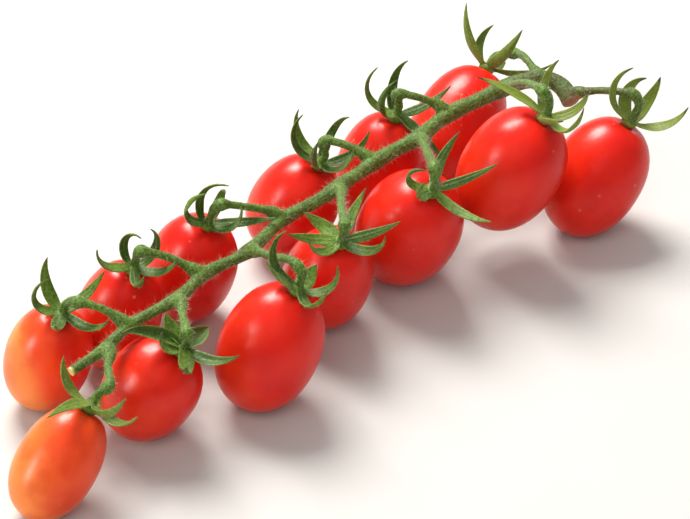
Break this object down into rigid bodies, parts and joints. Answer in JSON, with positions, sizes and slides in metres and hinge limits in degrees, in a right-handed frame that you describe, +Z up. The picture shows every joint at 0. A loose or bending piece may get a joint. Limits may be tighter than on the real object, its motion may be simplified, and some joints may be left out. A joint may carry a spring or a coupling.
{
  "type": "cherry tomatoes on the vine",
  "caption": "Cut truss of plum-shaped cherry tomatoes lying on a surface, with green stem, knuckled stalks and curling calyxes.",
  "frame": {"origin": "on the surface the truss lies on, under the middle of its bounding box", "axes": "+X along the main stem from its thin tip to its thick cut base, +Z up"},
  "size_m": [0.2158, 0.0776, 0.0594],
  "materials": {
    "ripe_skin": "smooth, glossy ripe red skin",
    "half_ripe_skin": "smooth, glossy orange-red skin",
    "stem_green": "matt green stem with fine hairs",
    "stalk_green": "matt light green stalk with fine hairs",
    "calyx_green": "matt dark green leafy sepals"
  },
  "bodies": {
    "root": {"main_stem": "stem_green", "stalk_01": "stalk_green", "stalk_02": "stalk_green", "stalk_03": "stalk_green", "stalk_04": "stalk_green", "stalk_05": "stalk_green", "stalk_06": "stalk_green", "stalk_07": "stalk_green", "stalk_08": "stalk_green", "stalk_09": "stalk_green", "stalk_10": "stalk_green", "stalk_11": "stalk_green", "stalk_12": "stalk_green", "stalk_13": "stalk_green", "calyx_01": "calyx_green", "calyx_02": "calyx_green", "calyx_03": "calyx_green", "calyx_04": "calyx_green", "calyx_05": "calyx_green", "calyx_06": "calyx_green", "calyx_07": "calyx_green", "calyx_08": "calyx_green", "calyx_09": "calyx_green", "calyx_10": "calyx_green", "calyx_11": "calyx_green", "calyx_12": "calyx_green", "calyx_13": "calyx_green", "tomato_01": "half_ripe_skin", "tomato_02": "half_ripe_skin", "tomato_03": "ripe_skin", "tomato_04": "ripe_skin", "tomato_05": "ripe_skin", "tomato_06": "ripe_skin", "tomato_07": "ripe_skin", "tomato_08": "ripe_skin", "tomato_09": "ripe_skin", "tomato_10": "ripe_skin", "tomato_11": "ripe_skin", "tomato_12": "ripe_skin", "tomato_13": "ripe_skin"}
  },
  "joints": []
}
